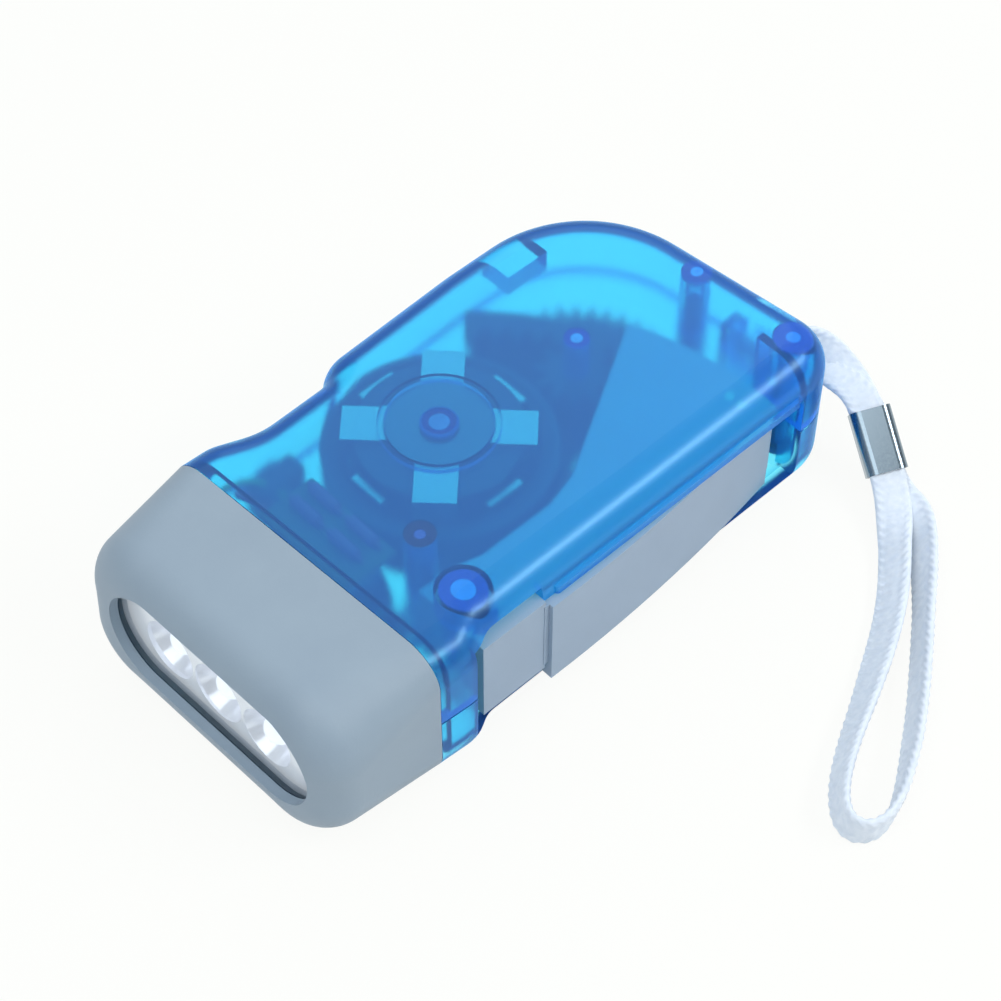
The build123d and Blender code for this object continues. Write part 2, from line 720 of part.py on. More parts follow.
with BuildPart() as clutch_pinion:
    add(drum(gear_post, clutch_radius - fit, wheel_high - clutch_sunk, wheel_high + 0.4))
    add(
        gear(
            gear_post,
            sector_module,
            drive_pinion_teeth,
            gear_post_angle,
            wheel_high + 0.4,
            drive_top - wheel_high - 0.4,
        )
    )
    add(drum(gear_post, gear_pin_radius + running, 0, 30), mode=Mode.SUBTRACT)
save(clutch_pinion.part, "clutch_pinion")

# ------------------------------------------------------------------ lever and its toothed sector
hub_low, hub_high = 6.0, 22.0
hub_front, hub_face_y = 21.55, 25.8
hub_radius = 7.0
grip_face = [(hub_x - 0.6, 26.6), (-14.0, 25.9), (-39.2, 22.9)]  # the face that the fingers pull
rear_angle, inner_angle = 176.2, 202.4
fan_corner, fan_bend = (-8.7, 11.9), (-2.6, 13.5)  # the lever's edge that passes the flywheel
rear_wall, rear_wall_low = 1.8, 12.4
sector_low, sector_high = 13.0, 18.0
sector_start, sector_seat, sector_end = 178.6, 203.2, 227.4
sector_outer = 58.4
pad_end = 183.6
rivet_radius, rivet_angles, rivet_reach = 0.8, (179.8, 182.3), 55.0


def fan(face, reach, first_angle, last_angle, bend, corner, front_x, front_y):
    """The lever's plan: its outer face, the rear arc about the pivot and the edge by the flywheel."""
    with BuildSketch() as plan:
        with BuildLine():
            ThreePointArc(*face)
            rear = polar(pivot, reach, first_angle)
            inner = polar(pivot, reach, last_angle)
            middle = polar(pivot, reach, (first_angle + last_angle) / 2)
            Line(face[-1], rear)
            ThreePointArc(rear, middle, inner)
            Polyline(inner, corner, bend, (front_x, front_y), face[0])
        make_face()
    return plan.sketch


lever_plan = fan(grip_face, lever_reach, rear_angle, inner_angle, fan_bend, fan_corner, hub_x - 0.6, 13.5)
inner_face = [(hub_x - 0.6, 24.6), (-14.0, 23.9), (-37.0, 21.2)]
hollow_plan = fan(
    inner_face, lever_reach - rear_wall, 177.6, 206.0, (-4.0, 0.0), (-20.0, -12.0), hub_x - 0.6, 0.0
)
with BuildPart() as lever:
    with BuildSketch(Plane.XY.offset(lever_bottom)):
        add(lever_plan)
    extrude(amount=lever_top - lever_bottom)
    with BuildSketch(Plane.XY.offset(lever_bottom + lever_plate)):
        add(hollow_plan)
    extrude(amount=lever_top - lever_bottom - 2 * lever_plate, mode=Mode.SUBTRACT)
    # The grip's wall goes on below the lower plate
    with BuildSketch(Plane.XY.offset(skirt_bottom)):
        with BuildLine():
            ThreePointArc(*grip_face)
            Polyline(grip_face[-1], inner_face[-1])
            ThreePointArc(*reversed(inner_face))
            Polyline(inner_face[0], grip_face[0])
        make_face()
    extrude(amount=lever_bottom + 0.5 - skirt_bottom)
    # The rear wall stops above the big gear wheel
    with BuildSketch(Plane.XY.offset(lever_bottom + lever_plate)):
        with BuildLine():
            Line(polar(pivot, 50, pad_end), polar(pivot, 62, pad_end))
            Line(polar(pivot, 62, pad_end), polar(pivot, 66, 206))
            Line(polar(pivot, 66, 206), polar(pivot, 50, 206))
            Line(polar(pivot, 50, 206), polar(pivot, 50, pad_end))
        make_face()
    extrude(amount=rear_wall_low - lever_bottom - lever_plate, mode=Mode.SUBTRACT)
    # Pads above and below the sector's root
    with BuildSketch(Plane.XY.offset(lever_bottom + lever_plate)):
        with BuildLine():
            Line(polar(pivot, 51, sector_start - 0.2), polar(pivot, 57.5, sector_start - 0.2))
            ThreePointArc(
                polar(pivot, 57.5, sector_start - 0.2),
                polar(pivot, 57.5, 181),
                polar(pivot, 57.5, pad_end),
            )
            Line(polar(pivot, 57.5, pad_end), polar(pivot, 51, pad_end))
            Line(polar(pivot, 51, pad_end), polar(pivot, 51, sector_start - 0.2))
        make_face()
    extrude(amount=lever_top - lever_bottom - 2 * lever_plate)
    with BuildSketch(Plane.XY.offset(sector_low - 0.02)):
        with Locations(pivot):
            Circle(lever_reach - rear_wall)
            Circle(50.5, mode=Mode.SUBTRACT)
        with BuildLine():
            Polyline(
                (pivot.X, pivot.Y),
                polar(pivot, 90, sector_start - 0.15),
                polar(pivot, 90, sector_seat),
                close=True,
            )
        make_face(mode=Mode.INTERSECT)
    extrude(amount=sector_high - sector_low + 0.04, mode=Mode.SUBTRACT)
    # Hub round the pivot post
    with BuildSketch(Plane.XY.offset(hub_low)):
        with BuildLine():
            Polyline(
                (hub_x, hub_face_y),
                (hub_x, 14.4),
                (pivot.X - 4, pivot.Y - 5.8),
                (hub_front, pivot.Y - 6.2),
                (hub_front, hub_face_y),
                close=True,
            )
        make_face()
    extrude(amount=hub_high - hub_low)
    with BuildSketch(Plane.XY.offset(lever_bottom)):
        with Locations(((hub_x - 0.7), (13.5 + 25.9) / 2)):
            Rectangle(2.0, 25.9 - 13.5)
    extrude(amount=lever_top - lever_bottom)
    add(drum(pivot, pivot_post_radius + 0.08, 0, 30), mode=Mode.SUBTRACT)
    # Pocket for the return spring, and notch for the catch
    add(drum(pivot, 6.0, hub_low, hub_low + 5.6), mode=Mode.SUBTRACT)
    notch = Vector(*polar(pivot, lever_reach - 2.0, catch_engaged_angle))
    add(
        slab(
            (notch.X - 8, notch.Y - 1.7, lever_bottom - 1),
            (notch.X + 1.8, notch.Y + 1.7, lever_bottom + lever_plate + 0.01),
        ),
        mode=Mode.SUBTRACT,
    )
    for angle in rivet_angles:
        place = Vector(*polar(pivot, rivet_reach, angle))
        add(drum(place, rivet_radius + 0.01, 0, 30), mode=Mode.SUBTRACT)
save(lever.part, "lever")


def sector_points():
    """The corners round the toothed arc: the inner side with its tooth spaces, then the outer side."""
    pitch = sector_module * sector_teeth / 2
    tip, root = pitch - addendum * sector_module, pitch + dedendum * sector_module
    step = 360 / sector_teeth
    space = pi * sector_module / 2 + thinning
    radii = [tip, pitch - 0.4 * sector_module, pitch, pitch + 0.5 * sector_module, root]
    points = [polar(pivot, tip, sector_start + (203.0 - sector_start) * k / 12) for k in range(13)]
    for count in range(-1, 6):
        middle = gear_post_angle + count * step
        halves = [(r, tooth_half_angle(sector_module, sector_teeth, r, space)) for r in radii]
        points += [polar(pivot, r, middle - half) for r, half in halves]
        points += [polar(pivot, r, middle + half) for r, half in reversed(halves)]
    middle = gear_post_angle + 6 * step
    points += [polar(pivot, r, middle - half) for r, half in halves]
    points.append(polar(pivot, root, sector_end))
    span = sector_end - sector_seat - 0.3
    points += [polar(pivot, sector_outer, sector_end - span * k / 12) for k in range(13)]
    inner = lever_reach - rear_wall - fit
    span = sector_seat - 0.3 - sector_start
    points += [polar(pivot, inner, sector_seat + 0.3 - 0.6 - span * k / 12) for k in range(13)]
    return points


with BuildPart() as gear_sector:
    with BuildSketch(Plane.XY.offset(sector_low)):
        with BuildLine():
            Polyline(*sector_points(), close=True)
        make_face()
    extrude(amount=sector_high - sector_low)
    for angle in rivet_angles:
        place = Vector(*polar(pivot, rivet_reach, angle))
        add(drum(place, rivet_radius + 0.01, 0, 30), mode=Mode.SUBTRACT)
save(gear_sector.part, "gear_sector")

with BuildPart() as sector_rivets:
    for angle in rivet_angles:
        place = Vector(*polar(pivot, rivet_reach, angle))
        add(drum(place, rivet_radius, lever_bottom, lever_top))
save(sector_rivets.part, "sector_rivets")

# ------------------------------------------------------------------ return spring round the pivot post
spring_radius, spring_wire, spring_low, spring_pitch, spring_turns = 4.8, 0.4, 6.9, 1.0, 3.5
spring_steps = 12  # short runs to a turn
spring_points = [(pivot.X + spring_radius, pivot.Y, 2.1)]
for step in range(int(spring_turns * spring_steps) + 1):
    place = polar(pivot, spring_radius, 360 * step / spring_steps)
    spring_points.append((*place, spring_low + spring_pitch * step / spring_steps))
with BuildPart() as return_spring:
    with BuildLine() as coil_path:
        FilletPolyline(*spring_points, radius=largest_bends(spring_points))
    with BuildSketch(Plane(origin=coil_path.line @ 0, z_dir=coil_path.line % 0)):
        Circle(spring_wire)
    sweep(path=coil_path.line)
save(return_spring.part, "return_spring")

# ------------------------------------------------------------------ catch that holds the lever squeezed
catch_plate_rear, catch_plate_front = -4.3, 7.2
catch_knob_length, catch_knob_width, catch_pin_radius = 5.0, 4.8, 1.4
with BuildPart() as lever_catch:
    add(
        slab(
            (catch_place.X + catch_plate_rear, catch_place.Y - 3.4, wall + fit),
            (catch_place.X + catch_plate_front, catch_place.Y + 3.4, wall + 1.3),
        )
    )
    knob_middle = catch_place.X + 0.1
    add(
        slab(
            (knob_middle - catch_knob_length / 2, catch_place.Y - catch_knob_width / 2, 0.3),
            (knob_middle + catch_knob_length / 2, catch_place.Y + catch_knob_width / 2, 2.5),
        )
    )
    for ridge in (-1.5, 0, 1.5):
        add(
            slab(
                (knob_middle + ridge - 0.35, catch_place.Y - 3, 0),
                (knob_middle + ridge + 0.35, catch_place.Y + 3, 0.7),
            ),
            mode=Mode.SUBTRACT,
        )
    add(drum(catch_place, catch_pin_radius, 2.0, 8.3))
save(lever_catch.part, "lever_catch")

# ------------------------------------------------------------------ leads behind the head
wire_radius = 0.5
wire_routes = {
    "wires_red": [
        (23.5, -16.3, 14.0),
        (24.6, -18.0, 15.9),
        (26.9, -19.0, 18.9),
        (29.4, -17.6, 21.6),
        (29.8, -14.6, 24.0),
        (28.9, -11.4, 24.35),
    ],
    "wires_green": [
        (21.0, -16.3, 14.0),
        (21.8, -18.4, 16.4),
        (24.6, -20.4, 18.8),
        (28.6, -20.6, 20.4),
        (33.6, -19.4, 19.6),
        (led_board_x, -15.9, 16.0),
    ],
}
for name, route in wire_routes.items():
    with BuildPart() as lead:
        with BuildLine() as lead_path:
            FilletPolyline(*route, radius=largest_bends(route))
        with BuildSketch(Plane(origin=lead_path.line @ 0, z_dir=lead_path.line % 0)):
            Circle(wire_radius)
        sweep(path=lead_path.line)
    save(lead.part, name)

# ------------------------------------------------------------------ wrist strap and its ferrule
strap_points = [
    (-51.2, 9.6, 16.05),
    (-55.4, 10.9, 15.6),
    (-58.7, 14.2, 13.6),
    (-60.0, 18.0, 11.6),
    (-58.6, 24.8, 9.7),
    (-53.7, 35.6, 2.2),
    (-52.2, 43.0, 2.85),
    (-45.3, 50.1, 2.8),
    (-35.8, 57.9, 2.8),
    (-26.0, 65.6, 2.8),
    (-17.5, 71.3, 2.8),
    (-11.0, 74.8, 2.8),
    (-6.3, 75.2, 2.8),
    (-4.0, 72.6, 2.8),
    (-5.5, 68.9, 2.8),
    (-11.6, 64.2, 2.8),
    (-24.4, 58.0, 2.8),
    (-37.4, 50.9, 2.8),
    (-47.6, 42.2, 2.9),
    (-52.9, 36.4, 3.8),
    (-57.9, 25.6, 11.3),
    (-57.6, 18.6, 11.3),
    (-57.2, 14.0, 11.6),
    (-54.6, 11.1, 12.2),
    (-51.2, 9.8, 11.95),
]


strap_radii = largest_bends(strap_points)
print("strap bends", strap_radii)
with BuildPart() as wrist_strap:
    with BuildLine() as strap_path:
        FilletPolyline(*strap_points, radius=strap_radii)
    with BuildSketch(Plane(origin=strap_path.line @ 0, z_dir=strap_path.line % 0)):
        Circle(strap_diameter / 2)
    sweep(path=strap_path.line)
print("strap length", round(sum(edge.length for edge in strap_path.line.edges()), 1))
save(wrist_strap.part, "wrist_strap")

strap_leg_ends = [Vector(*strap_points[place]) for place in (4, 20, 5, 19)]
ferrule_middle = sum(strap_leg_ends, Vector(0, 0, 0)) / 4
ferrule_axis = (strap_leg_ends[2] + strap_leg_ends[3] - strap_leg_ends[0] - strap_leg_ends[1]).normalized()
ply_offset = strap_leg_ends[1] - strap_leg_ends[0]
ferrule_length, ferrule_width, ferrule_depth, ferrule_wall = 10.0, 6.5, 4.6, 0.3
with BuildPart() as strap_ferrule:
    with BuildSketch(
        Plane(
            origin=ferrule_middle - ferrule_axis * ferrule_length / 2,
            x_dir=ferrule_axis.cross(ply_offset),
            z_dir=ferrule_axis,
        )
    ):
        RectangleRounded(ferrule_width, ferrule_depth, 1.6)
        RectangleRounded(
            ferrule_width - 2 * ferrule_wall,
            ferrule_depth - 2 * ferrule_wall,
            1.3,
            mode=Mode.SUBTRACT,
        )
    extrude(amount=ferrule_length)
save(strap_ferrule.part, "strap_ferrule")

box = Compound(children=[top_shell.part, bottom_shell.part, head_bezel.part, lever.part]).bounding_box()
print("box", box.min, box.max)
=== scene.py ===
"""A squeeze-lever dynamo torch: clear blue casing over its works, grey head and lever, braided strap."""

import bpy
import numpy as np
from mathutils import Euler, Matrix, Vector


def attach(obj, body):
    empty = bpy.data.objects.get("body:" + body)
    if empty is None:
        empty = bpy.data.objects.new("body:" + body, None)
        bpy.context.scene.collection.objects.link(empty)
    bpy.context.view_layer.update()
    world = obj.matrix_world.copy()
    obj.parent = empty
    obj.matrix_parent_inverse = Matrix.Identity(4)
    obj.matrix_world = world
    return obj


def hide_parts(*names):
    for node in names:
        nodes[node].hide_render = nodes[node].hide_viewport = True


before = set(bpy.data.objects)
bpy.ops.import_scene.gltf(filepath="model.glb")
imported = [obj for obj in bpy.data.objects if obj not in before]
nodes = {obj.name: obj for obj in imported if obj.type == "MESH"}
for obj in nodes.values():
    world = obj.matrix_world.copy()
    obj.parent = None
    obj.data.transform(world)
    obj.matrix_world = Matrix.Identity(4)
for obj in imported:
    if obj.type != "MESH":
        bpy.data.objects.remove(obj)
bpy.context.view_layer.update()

# ---------------------------------------------------------------- camera
# The photograph looks down on the head's front and the lever's side. The picture was matched from
# 0.38 m away, through a long lens.
azimuth, elevation, distance = 137.0, 52.0, 0.380
aim = Vector((-0.00205, 0.0039, 0.014))
turned, raised = np.radians(azimuth), np.radians(elevation)
back = Vector(
    (np.sin(turned) * np.cos(raised), -np.cos(turned) * np.cos(raised), np.sin(raised))
)
lens = bpy.data.cameras.new("camera")
lens.lens, lens.sensor_width = 93.5, 36.0
lens.clip_start, lens.clip_end = 0.01, 10.0
camera = bpy.data.objects.new("camera", lens)
camera.location = aim + back * distance
camera.rotation_euler = Euler((np.pi / 2 - raised, 0.0, turned))
bpy.context.scene.collection.objects.link(camera)
bpy.context.scene.camera = camera

# ---------------------------------------------------------------- floor, sky and lamps
# A white sweep of paper under a large soft box, with a strip lamp that draws the long highlight
# down the near edge of the casing.


def linear(code):
    """An sRGB hex code as linear red, green, blue, alpha: the sRGB curve undone channel by channel."""
    parts = [int(code[i : i + 2], 16) / 255 for i in (0, 2, 4)]
    return tuple(p / 12.92 if p <= 0.04045 else ((p + 0.055) / 1.055) ** 2.4 for p in parts) + (1.0,)


def put(tree, kind, inputs=None, **settings):
    """Adds a shader node: settings are its properties, inputs its values or the sockets that feed it."""
    made = tree.nodes.new(kind)
    for key, value in settings.items():
        setattr(made, key, value)
    for key, value in (inputs or {}).items():
        if isinstance(value, bpy.types.NodeSocket):
            tree.links.new(value, made.inputs[key])
        else:
            made.inputs[key].default_value = value
    return made


def new_material(name):
    """An empty node material and its tree."""
    material = bpy.data.materials.new(name)
    material.use_nodes = True
    material.node_tree.nodes.clear()
    return material, material.node_tree


def maths(tree, operation, first, second):
    """One sum on two numbers or sockets, as a socket."""
    return put(tree, "ShaderNodeMath", {0: first, 1: second}, operation=operation).outputs[0]


def mixed(tree, share, first, second):
    """Two colours mixed by a share, as a socket: the first at 0 and the second at 1."""
    return put(tree, "ShaderNodeMix", {0: share, 6: first, 7: second}, data_type="RGBA").outputs[2]


def outside_shine(tree, index_of_refraction, extra=None):
    """How much a wall's outer face mirrors: Fresnel's share, and none of it on a back face."""
    inputs = {"IOR": index_of_refraction, **(extra or {})}
    mirrored = put(tree, "ShaderNodeFresnel", inputs).outputs[0]
    behind = put(tree, "ShaderNodeNewGeometry").outputs["Backfacing"]
    return maths(tree, "MULTIPLY", mirrored, maths(tree, "SUBTRACT", 1.0, behind))


paper_glow, burnt_out_glow = 0.93, 1.45
paper, tree = new_material("white_paper_sweep")
rays = put(tree, "ShaderNodeLightPath")
through = rays.outputs["Is Transmission Ray"]
seen = maths(tree, "MAXIMUM", rays.outputs["Is Camera Ray"], rays.outputs["Is Glossy Ray"])
seen = maths(tree, "MULTIPLY", maths(tree, "MAXIMUM", seen, through), paper_glow)
matt = put(tree, "ShaderNodeBsdfDiffuse", {"Color": linear("F4F4F2")})
burnt_out = put(tree, "ShaderNodeMapRange", {"Value": through, "To Min": 1.0, "To Max": burnt_out_glow})
glow = put(tree, "ShaderNodeEmission", {"Color": linear("FDFEFC"), "Strength": burnt_out.outputs[0]})
both = put(tree, "ShaderNodeMixShader", {0: seen, 1: matt.outputs[0], 2: glow.outputs[0]})
put(tree, "ShaderNodeOutputMaterial", {"Surface": both.outputs[0]})
reach = 3
corners = [(-reach, -reach, 0), (reach, -reach, 0), (reach, reach, 0), (-reach, reach, 0)]
sheet = bpy.data.meshes.new("floor")
sheet.from_pydata(corners, [], [(0, 1, 2, 3)])
floor = bpy.data.objects.new("floor", sheet)
bpy.context.scene.collection.objects.link(floor)
floor.location.z = -0.0001
sheet.materials.append(paper)

# The room is darker on the lever's side, so the near edge keeps a deep blue beside its highlight.
dark_side, room_light, dark_side_light = (-0.2, 0.93, 0.3), 0.62, 0.12
sky = bpy.data.worlds.new("soft_room")
bpy.context.scene.world = sky
sky.use_nodes = True
tree = sky.node_tree
tree.nodes.clear()
rays = put(tree, "ShaderNodeLightPath")
way = put(tree, "ShaderNodeTexCoord")
toward = put(
    tree, "ShaderNodeVectorMath", {0: way.outputs["Generated"], 1: dark_side}, operation="DOT_PRODUCT"
)
level = put(
    tree,
    "ShaderNodeMapRange",
    {
        "Value": toward.outputs["Value"],
        "From Min": 0.35,
        "From Max": 0.95,
        "To Min": room_light,
        "To Max": dark_side_light,
    },
)
room = put(tree, "ShaderNodeBackground", {"Color": linear("EEF5FC"), "Strength": level.outputs[0]})
white = put(tree, "ShaderNodeBackground", {"Color": linear("FDFEFC"), "Strength": 1.0})
seen = maths(tree, "MAXIMUM", rays.outputs["Is Camera Ray"], rays.outputs["Is Transmission Ray"])
both = put(tree, "ShaderNodeMixShader", {0: seen, 1: room.outputs[0], 2: white.outputs[0]})
put(tree, "ShaderNodeOutputWorld", {"Surface": both.outputs[0]})

for name, place, size, power in (
    ("soft_box", (0.25, 0.10, 0.75), (0.7, 0.7), 2.8),
    ("strip_lamp", (-0.34, 0.50, 0.53), (0.6, 0.13), 3.3),
    ("far_fill", (-0.45, -0.45, 0.50), (0.5, 0.5), 1.0),
):
    lamp = bpy.data.lights.new(name, "AREA")
    lamp.shape, lamp.size, lamp.size_y, lamp.energy = "RECTANGLE", *size, power
    holder = bpy.data.objects.new(name, lamp)
    holder.location = place
    holder.rotation_euler = (-Vector(place)).to_track_quat("-Z", "Y").to_euler()
    bpy.context.scene.collection.objects.link(holder)
bpy.context.scene.view_settings.view_transform = "Standard"

# ---------------------------------------------------------------- wrist strap
# A flat braid of white polyester yarn, 5.5 mm wide. It goes round the pin in the rear opening, both
# ends pass through the ferrule, and the loop lies on the table, leaning on its edge.
braid_width, braid_thickness = 0.0055, 0.0015
strap_route = [
    (-51.2, 9.6, 16.05),
    (-55.4, 10.9, 15.6),
    (-58.7, 14.2, 13.6),
    (-60.0, 18.0, 11.6),
    (-58.6, 24.8, 9.7),
    (-53.7, 35.6, 2.2),
    (-52.2, 43.0, 2.85),
    (-45.3, 50.1, 2.8),
    (-35.8, 57.9, 2.8),
    (-26.0, 65.6, 2.8),
    (-17.5, 71.3, 2.8),
    (-11.0, 74.8, 2.8),
    (-6.3, 75.2, 2.8),
    (-4.0, 72.6, 2.8),
    (-5.5, 68.9, 2.8),
    (-11.6, 64.2, 2.4),
    (-24.4, 58.0, 2.2),
    (-37.4, 50.9, 2.2),
    (-47.6, 42.2, 2.5),
    (-52.9, 36.4, 3.8),
    (-57.9, 25.6, 11.3),
    (-57.6, 18.6, 11.3),
    (-57.2, 14.0, 11.6),
    (-54.6, 11.1, 12.2),
    (-51.2, 9.8, 11.95),
]


def smooth_route(points_mm, name):
    """The points that a smooth NURBS line of order 3 goes through, for control points in millimetres."""
    curve = bpy.data.curves.new(name, "CURVE")
    curve.dimensions = "3D"
    spline = curve.splines.new("NURBS")
    spline.points.add(len(points_mm) - 1)
    flat = np.ones((len(points_mm), 4))
    flat[:, :3] = np.array(points_mm) / 1000
    spline.points.foreach_set("co", flat.ravel())
    spline.order_u = 3
    spline.use_endpoint_u = True
    spline.resolution_u = 24
    holder = bpy.data.objects.new(name, curve)
    mesh = bpy.data.meshes.new_from_object(holder)
    line = np.empty(len(mesh.vertices) * 3)
    mesh.vertices.foreach_get("co", line)
    bpy.data.meshes.remove(mesh)
    bpy.data.objects.remove(holder)
    return line.reshape(-1, 3)


def mesh_grid(name, points, material):
    """A mesh from a grid of points (rings, around, 3), with each ring closed and both ends capped."""
    rings, around, _ = points.shape
    now = np.arange(rings * around).reshape(rings, around)
    ahead = np.roll(now, -1, axis=1)
    quads = np.stack([now[:-1], ahead[:-1], ahead[1:], now[1:]], axis=-1).reshape(-1, 4)
    faces = quads.tolist() + [now[0][::-1].tolist(), now[-1].tolist()]
    mesh = bpy.data.meshes.new(name)
    mesh.from_pydata(points.reshape(-1, 3).tolist(), [], faces)
    mesh.shade_smooth()
    mesh.materials.append(material)
    piece = bpy.data.objects.new(name, mesh)
    bpy.context.scene.collection.objects.link(piece)
    return piece


def along(line, step):
    """The line at even steps, its unit tangents as running means over 19 samples, and the distances."""
    run = np.concatenate([[0], np.cumsum(np.linalg.norm(np.diff(line, axis=0), axis=1))])
    keep = np.concatenate([[True], np.diff(run) > 1e-7])
    line, run = line[keep], run[keep]
    far = np.linspace(0, run[-1], int(run[-1] / step) + 1)
    even = np.stack([np.interp(far, run, line[:, k]) for k in range(3)], axis=1)
    tangent = np.gradient(even, axis=0)
    reach = 9
    pad = np.pad(tangent, ((reach, reach), (0, 0)), mode="edge")
    kernel = np.ones(2 * reach + 1) / (2 * reach + 1)
    tangent = np.stack([np.convolve(pad[:, k], kernel, mode="valid") for k in range(3)], axis=1)
    return even, tangent / np.linalg.norm(tangent, axis=1, keepdims=True), far


# Polyester braid: a soft white with a cool cast, matte, with rows of small slanted yarns.
braid, tree = new_material("braided_polyester")
place = put(tree, "ShaderNodeTexCoord")
mottle = put(tree, "ShaderNodeTexNoise", {"Vector": place.outputs["Object"], "Scale": 900.0, "Detail": 3.0})
tone = mixed(tree, mottle.outputs["Fac"], linear("C6D3E2"), linear("E8EFF6"))
fuzz = put(tree, "ShaderNodeBump", {"Height": mottle.outputs["Fac"], "Strength": 0.35, "Distance": 0.0001})
cloth = put(
    tree,
    "ShaderNodeBsdfPrincipled",
    {"Base Color": tone, "Roughness": 0.85, "Sheen Weight": 0.25, "Normal": fuzz.outputs[0]},
)
put(tree, "ShaderNodeOutputMaterial", {"Surface": cloth.outputs[0]})

sample_step, stitch_length, relief_height, yarn_rows = 0.00025, 0.0015, 0.0003, 4
centre, tangent, far = along(smooth_route(strap_route, "strap_line"), sample_step)
# The braid starts flat, and leans on its edge round the loop: shares of the length and the angles there
level_way = np.array((np.cos(np.radians(137.0)), np.sin(np.radians(137.0)), 0.0))
lean = np.radians(
    np.interp(
        far / far[-1],
        [0, 0.175, 0.23, 0.30, 0.42, 0.50, 0.57, 0.67, 0.78, 0.825, 1],
        [0, 0, 45, 64, 66, 84, 62, 40, 34, 0, 0],
    )
)
leaning = level_way * np.cos(lean)[:, None] + np.array((0, 0, 1.0)) * np.sin(lean)[:, None]
wide = leaning - tangent * np.sum(leaning * tangent, axis=1, keepdims=True)
wide /= np.linalg.norm(wide, axis=1, keepdims=True)
thick = np.cross(wide, tangent)
# Cross-section: a flattened round, as a ring of points (u across, v through)
turn = np.linspace(0, 2 * np.pi, 40, endpoint=False)
u = np.sign(np.cos(turn)) * np.abs(np.cos(turn)) ** 0.55
v = np.sign(np.sin(turn)) * np.abs(np.sin(turn)) ** 0.75
# Yarns: rows side by side, each a chain of slanted stitches that leans the other way in the next row
row = (u + 1) / 2 * yarn_rows
slant = np.where(np.floor(np.clip(row, 0, yarn_rows - 0.001)) % 2 < 1, 1.0, -1.0)
inside = np.abs(row - np.floor(row) - 0.5) * 2
stitch = np.sin(np.pi * (far[:, None] / stitch_length + slant[None, :] * (row % 1)[None, :] * 0.8)) ** 2
relief = relief_height * (0.25 + 0.75 * stitch) * (1 - inside[None, :] ** 4)
across = u[None, :] * braid_width / 2
on_the_face = np.sign(v) * np.minimum(1, np.abs(v) * 1.5)
deep = v[None, :] * (braid_thickness / 2 - relief_height) + relief * on_the_face[None, :]
strap = mesh_grid(
    "strap_braid",
    centre[:, None, :] + wide[:, None, :] * across[..., None] + thick[:, None, :] * deep[..., None],
    braid,
)
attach(strap, "casing")
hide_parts("wrist_strap")
print("strap length mm", round(far[-1] * 1000, 1))

# ---------------------------------------------------------------- casing
# Two shells of clear blue polycarbonate with a faintly frosted inside, so that what is close under
# the wall is crisp and what lies deep is soft. The tint is densest where the eye meets the wall at a
# slant, as on the rounded edges and down the sides of the posts.
clear_blue, tree = new_material("clear_blue_polycarbonate")
place = put(tree, "ShaderNodeTexCoord")
ripple = put(tree, "ShaderNodeTexNoise", {"Vector": place.outputs["Object"], "Scale": 60.0, "Detail": 2.0})
wave = put(tree, "ShaderNodeBump", {"Height": ripple.outputs["Fac"], "Strength": 0.04, "Distance": 0.0006})
slant_view = put(tree, "ShaderNodeLayerWeight", {"Blend": 0.5})
dense = maths(tree, "POWER", slant_view.outputs["Facing"], 2.2)
haze = mixed(tree, dense, linear("4E96FF"), linear("0070FF"))
tint = mixed(tree, dense, (0.48, 0.98, 1.0, 1.0), (0.14, 0.84, 1.0, 1.0))
rays = put(tree, "ShaderNodeLightPath")
looked = maths(tree, "MAXIMUM", rays.outputs["Is Camera Ray"], rays.outputs["Is Transmission Ray"])
frosted = put(
    tree,
    "ShaderNodeBsdfRefraction",
    {"Color": tint, "Roughness": 0.29, "IOR": 1.25, "Normal": wave.outputs[0]},
)
open_way = put(tree, "ShaderNodeBsdfTransparent", {"Color": (0.48, 0.95, 1.0, 1.0)})
passed = put(tree, "ShaderNodeMixShader", {0: looked, 1: open_way.outputs[0], 2: frosted.outputs[0]})
skin = put(
    tree,
    "ShaderNodeBsdfPrincipled",
    {"Base Color": haze, "Roughness": 0.3, "Specular IOR Level": 0.0, "Normal": wave.outputs[0]},
)
scattered = put(tree, "ShaderNodeMapRange", {"Value": dense, "To Min": 0.18, "To Max": 0.36})
body = put(
    tree, "ShaderNodeMixShader", {0: scattered.outputs[0], 1: passed.outputs[0], 2: skin.outputs[0]}
)
shine = put(
    tree,
    "ShaderNodeBsdfGlossy",
    {"Color": (0.42, 0.76, 1.0, 1.0), "Roughness": 0.27, "Normal": wave.outputs[0]},
)
edge = outside_shine(tree, 1.58, {"Normal": wave.outputs[0]})
body = put(tree, "ShaderNodeMixShader", {0: edge, 1: body.outputs[0], 2: shine.outputs[0]})
put(tree, "ShaderNodeOutputMaterial", {"Surface": body.outputs[0]})


def dress(material, *names):
    """Gives CAD nodes their material."""
    for name in names:
        mesh = nodes[name].data
        mesh.materials.clear()
        mesh.materials.append(material)


dress(clear_blue, "top_shell", "bottom_shell")

# ---------------------------------------------------------------- marks at the roots of the posts, and painted glints at the holes' ends
# Where a screw post meets the top wall, the moulding is thickest and shows as a dark ring round the
# blind end of its hole. The front post's ring is a deep red-purple.
# The paler disc inside each ring is a painted glint: a flat lighter colour standing in for the highlight at
# the bottom of the hole.
post_marks = [
    # centre x, centre y, inner radius, outer radius in mm, colour, colour of the painted glint at the hole's
    # end
    (-46.65, -0.7, 0.95, 2.3, "24208C", "4488DC"),
    (-47.65, 18.1, 1.05, 2.9, "2E2CA0", "4678DC"),
    (-24.25, -3.44, 0.95, 2.0, "1A1690", "4A86CC"),
    (16.85, 7.8, 0.85, 2.35, "3A0640", "5A4490"),
    (18.85, 18.8, 1.75, 3.4, "16329C", "2A7CD0"),
    (1.28, -5.41, 1.55, 2.9, "201A78", "3A68A8"),
]
mark_height, mark_depth = 0.0260, 0.0005


